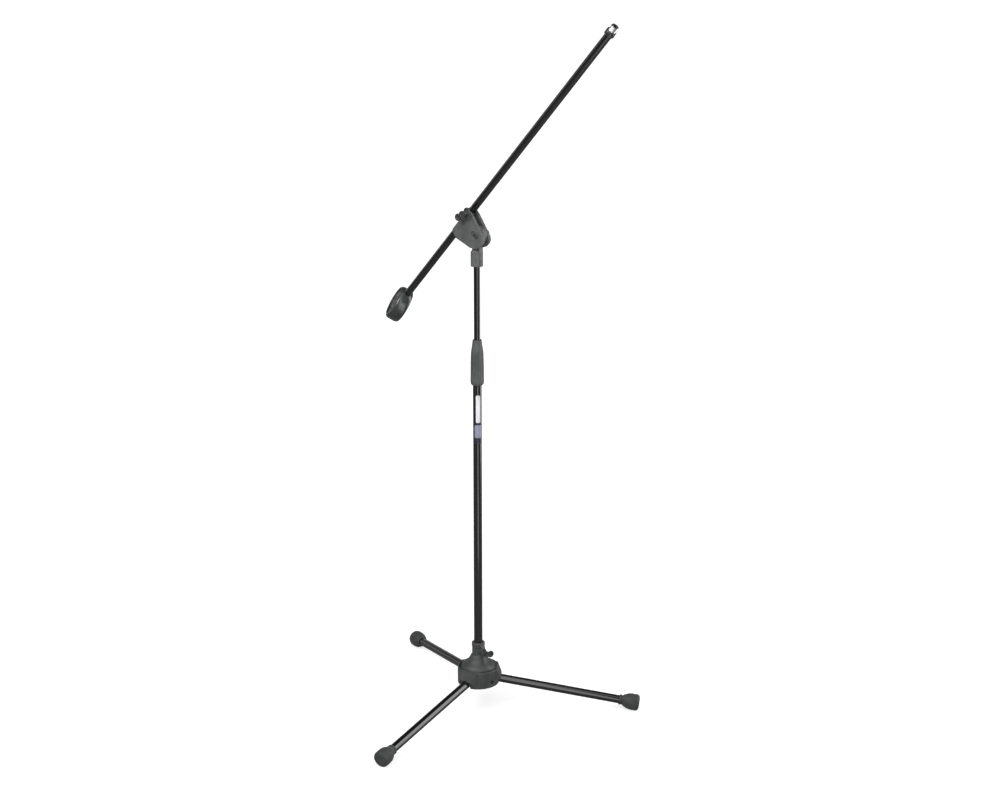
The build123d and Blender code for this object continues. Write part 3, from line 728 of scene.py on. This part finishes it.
# ---- Mast socket and clamp
def clamp():
    socket = moulded("mast_socket_ear", "mast_socket", COLUMN, CLAMP_VOXEL, 6)
    place(socket, "mast", CLAMP_PLASTIC, "clamp_plastic", "mast_socket")
    near = moulded("clamp_cheek_near", "clamp_plate_near", CLAMP, CLAMP_VOXEL, 6)
    place(near, "clamp", CLAMP_PLASTIC, "clamp_plastic", "clamp_plate_near")
    far = moulded("clamp_cheek_far", "clamp_plate_far", CLAMP, CLAMP_VOXEL, 6)
    place(far, "clamp", CLAMP_PLASTIC, "clamp_plastic", "clamp_plate_far")

    bolt = bmesh.new()
    turns = [math.radians(60 * corner) for corner in range(6)]
    head = [(HEX_R * math.cos(turn), HEX_R * math.sin(turn)) for turn in turns]
    add_prism(bolt, head, -12.2, -8.3)
    shank = [(0, -12.45), (3.6, -12.45), (4.9, -12.0), (BOLT_R, -8.4), (BOLT_R, BOLT_END), (0, BOLT_END)]
    add_turned(bolt, softened(shank, 0.4), BOLT_SIDES)
    place(new_piece("tilt_bolt", bolt, TILT_BOLT), "clamp", BLACK_STEEL, "black_steel", "pivot_bolt")

    hole = BOLT_R + 0.1
    ring = [(hole, 12.9), (hole, 12.5), (WASHER_R, 12.5), (WASHER_R, 13.3), (hole, 13.3), (hole, 12.9)]
    washer = turned("tilt_knob_washer", softened(ring, 0.2), TILT_BOLT, SMALL_SIDES)
    place(washer, "clamp", THREAD_STEEL, "thread_steel", "knob_washer")

    knob = moulded("tilt_hand_knob", "tilt_knob", TILT_BOLT, CLAMP_VOXEL, 14)
    place(knob, "tilt_lock", KNOB_PLASTIC, "knob_plastic", "tilt_knob")


def lock_screws():
    turn = Matrix.Rotation(HUB_WING_TURN, 4, "Z")
    head = lobed_head("hub_wing_screw", shifted(HUB_SCREW, 1.3) @ turn, 6.2, 15.5, 9.0)
    place(head, "hub_lock", KNOB_PLASTIC, "knob_plastic", "hub_lock_wing")
    screw = thread("hub_screw_thread", HUB_SCREW, 3.0, 1.0, -10.1, 10.8)
    place(screw, "hub_lock", THREAD_STEEL, "thread_steel", "hub_lock_screw")

    head = lobed_head("boom_wing_screw", shifted(BOOM_SCREW, -2.7), 7.6, 13.0, 15.0)
    place(head, "boom_lock", KNOB_PLASTIC, "knob_plastic", "boom_lock_wing")
    screw = thread("boom_screw_thread", BOOM_SCREW, 2.5, 0.8, -9.0, 5.8)
    place(screw, "boom_lock", THREAD_STEEL, "thread_steel", "boom_lock_screw")


# ---- Boom
def boom_tip():
    bore = BOOM_R - 0.9
    corners = [(bore, COLLAR_START), (BOOM_R, 547.2), (9.6, 547.0), (10.6, 548.2), (10.6, 556.4)]
    corners += [(9.9, 557.0), (9.9, 557.8), (10.4, 558.2), (10.4, COLLAR_END)]
    corners += [(bore, COLLAR_END), (bore, COLLAR_START)]
    collar = turned("boom_tip_collar", softened(corners, 0.5), BOOM)
    place(collar, "boom", TIP_BLACK, "tip_collar_black", "tip_collar")
    span = (COLLAR_END, TIP_THREAD_END)
    end = thread("boom_tip_thread", BOOM, TIP_THREAD_R, TIP_PITCH, *span, TIP_BORE_R, TUBE_SIDES)
    place(end, "boom", THREAD_STEEL, "thread_steel", "tip_thread")


def counterweight():
    """Moulded cover over the weight: raised rim, deep ring groove and dished middle on both faces."""
    half = [
        (0, 10.5),
        (9.0, 10.5),
        (10.0, 12.0),
        (17.0, 12.2),
        (19.5, 10.2),
        (28.0, 10.6),
        (31.5, 14.2),
        (34.0, 15.0),
        (36.5, 13.6),
        (38.3, 10.4),
        (39.0, 6.0),
    ]
    corners = half + [(radius, -z) for radius, z in reversed(half)]
    outline = softened(corners, 2.2)
    cover = turned("counterweight_shell", outline, WEIGHT, WEIGHT_SIDES)
    place(cover, "boom", WEIGHT_COVER, "weight_cover", "counterweight_cover")


def hidden_parts():
    """Finishes for the CAD pieces that show as they are."""
    finishes = {
        INSERT_BRASS: ["hub_lock_insert", "boom_lock_insert", "tilt_insert"],
        INNER_PLASTIC: ["clutch_collar", "clutch_collet", "upper_glide", "friction_washers", "boom_liner"],
        THREAD_STEEL: ["socket_screw", "counterweight_screw"],
        WEIGHT_IRON: ["counterweight_core"],
    }
    finishes[INNER_PLASTIC] += [f"leg_plug_{number}" for number in LEGS]
    for material, nodes in finishes.items():
        for node in nodes:
            paint(node, material)


# ---- Build
straight_tubes()
column_plug()
printed_marks()
for leg in LEGS:
    leg_tube(leg)
    foot_cap(leg)
hub()
clutch_grip()
clamp()
lock_screws()
boom_tip()
counterweight()
hidden_parts()
for piece in list(bpy.context.scene.objects):
    if piece.type == "MESH" and "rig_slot" in piece:
        even_normals(piece)


# ---- Studio
CAMERA_SPOT = (2.5178, -2.7455, 1.8378)
CAMERA_PITCH = math.radians(73.30)
CAMERA_YAW = math.radians(41.773)
CAMERA_LENS = 65.0
SENSOR_WIDTH = 36.0
FLOOR_HALF = 40.0
FLOOR_GLOW_NEAR = 0.68      # near the stand, where light and shadow add to it
FLOOR_GLOW_FAR = 1.05
FLOOR_REFLECTED = (0.32, 0.32, 0.32)
WHITE = (1.0, 1.0, 1.0)
SKY_LOW = (0.80, 0.80, 0.80)
SKY_HIGH = (0.05, 0.05, 0.05)


def white_floor():
    """Pale floor that stays white towards the back, and is dimmer in reflections."""
    mesh = bmesh.new()
    bmesh.ops.create_grid(mesh, x_segments=8, y_segments=8, size=FLOOR_HALF)
    floor = new_piece("studio_floor", mesh, COLUMN)
    material = bpy.data.materials.new("studio_floor")
    material.use_nodes = True
    tree = material.node_tree
    shader = tree.nodes["Principled BSDF"]
    shader.inputs["Roughness"].default_value = 0.6
    shader.inputs["Specular IOR Level"].default_value = 0.1
    shader.inputs["Emission Color"].default_value = (1, 1, 1, 1)
    coordinates = tree.nodes.new("ShaderNodeTexCoord")
    distance = tree.nodes.new("ShaderNodeVectorMath")
    distance.operation = "LENGTH"
    tree.links.new(coordinates.outputs["Object"], distance.inputs[0])
    glow = ranged(tree, distance.outputs["Value"], 0.4, 2.0, FLOOR_GLOW_NEAR, FLOOR_GLOW_FAR)
    path = tree.nodes.new("ShaderNodeLightPath")
    seen = product(tree, glow, path.outputs["Is Camera Ray"])
    tree.links.new(seen, shader.inputs["Emission Strength"])
    shade = ranged(tree, noise(tree, 2.0), 0.3, 0.7, 0.0, 1.0)
    pale = mixed(tree, shade, (0.60, 0.60, 0.60), (0.62, 0.62, 0.62))
    colour = mixed(tree, path.outputs["Is Camera Ray"], FLOOR_REFLECTED, pale)
    tree.links.new(colour, shader.inputs["Base Color"])
    floor.data.materials.append(material)


def sky():
    """White behind the stand for the camera; dim all round for reflections."""
    world = bpy.data.worlds.new("studio")
    bpy.context.scene.world = world
    world.use_nodes = True
    tree = world.node_tree
    background = tree.nodes["Background"]
    direction = tree.nodes.new("ShaderNodeTexCoord")
    split = tree.nodes.new("ShaderNodeSeparateXYZ")
    tree.links.new(direction.outputs["Generated"], split.inputs["Vector"])
    height = ranged(tree, split.outputs["Z"], 0.05, 0.35, 0.0, 1.0)
    light = mixed(tree, height, SKY_LOW, SKY_HIGH)
    path = tree.nodes.new("ShaderNodeLightPath")
    seen = mixed(tree, path.outputs["Is Camera Ray"], light, WHITE)
    tree.links.new(seen, background.inputs["Color"])
    background.inputs["Strength"].default_value = 1.0


def softbox(name, azimuth, distance, base, size, brightness, tilt=0.0):
    """Rectangular light that faces the column. Azimuth 0 is on -Y and 90 on +X.

    base is the height of its middle, brightness its radiance and tilt its lean down in degrees.
    """
    turn = math.radians(azimuth)
    lean = math.radians(tilt)
    outward = Vector((math.sin(turn), -math.cos(turn), 0))
    facing = outward * math.cos(lean) + UP * math.sin(lean)
    data = bpy.data.lights.new(name, "AREA")
    data.shape = "RECTANGLE"
    data.size, data.size_y = size
    data.energy = brightness * math.pi * size[0] * size[1]
    lamp = bpy.data.objects.new(name, data)
    bpy.context.scene.collection.objects.link(lamp)
    lamp.location = outward * distance + UP * base
    lamp.rotation_mode = "QUATERNION"
    lamp.rotation_quaternion = facing.to_track_quat("Z", "Y")
    lamp.visible_camera = False


def camera():
    data = bpy.data.cameras.new("camera")
    data.lens = CAMERA_LENS
    data.sensor_width = SENSOR_WIDTH
    data.clip_end = 200.0
    eye = bpy.data.objects.new("camera", data)
    bpy.context.scene.collection.objects.link(eye)
    eye.location = CAMERA_SPOT
    eye.rotation_euler = (CAMERA_PITCH, 0, CAMERA_YAW)
    bpy.context.scene.camera = eye


white_floor()
sky()
softbox("strip_front", 53.0, 0.9, 1.05, (0.42, 2.1), 2.2)
softbox("strip_right", 140.0, 1.7, 1.25, (0.9, 2.5), 3.6)
softbox("key", -8.0, 2.6, 3.1, (1.8, 1.8), 9.0, tilt=42.0)
softbox("top", 30.0, 0.7, 3.4, (2.6, 2.6), 1.0, tilt=78.0)
camera()
bpy.context.scene.view_settings.view_transform = "Standard"
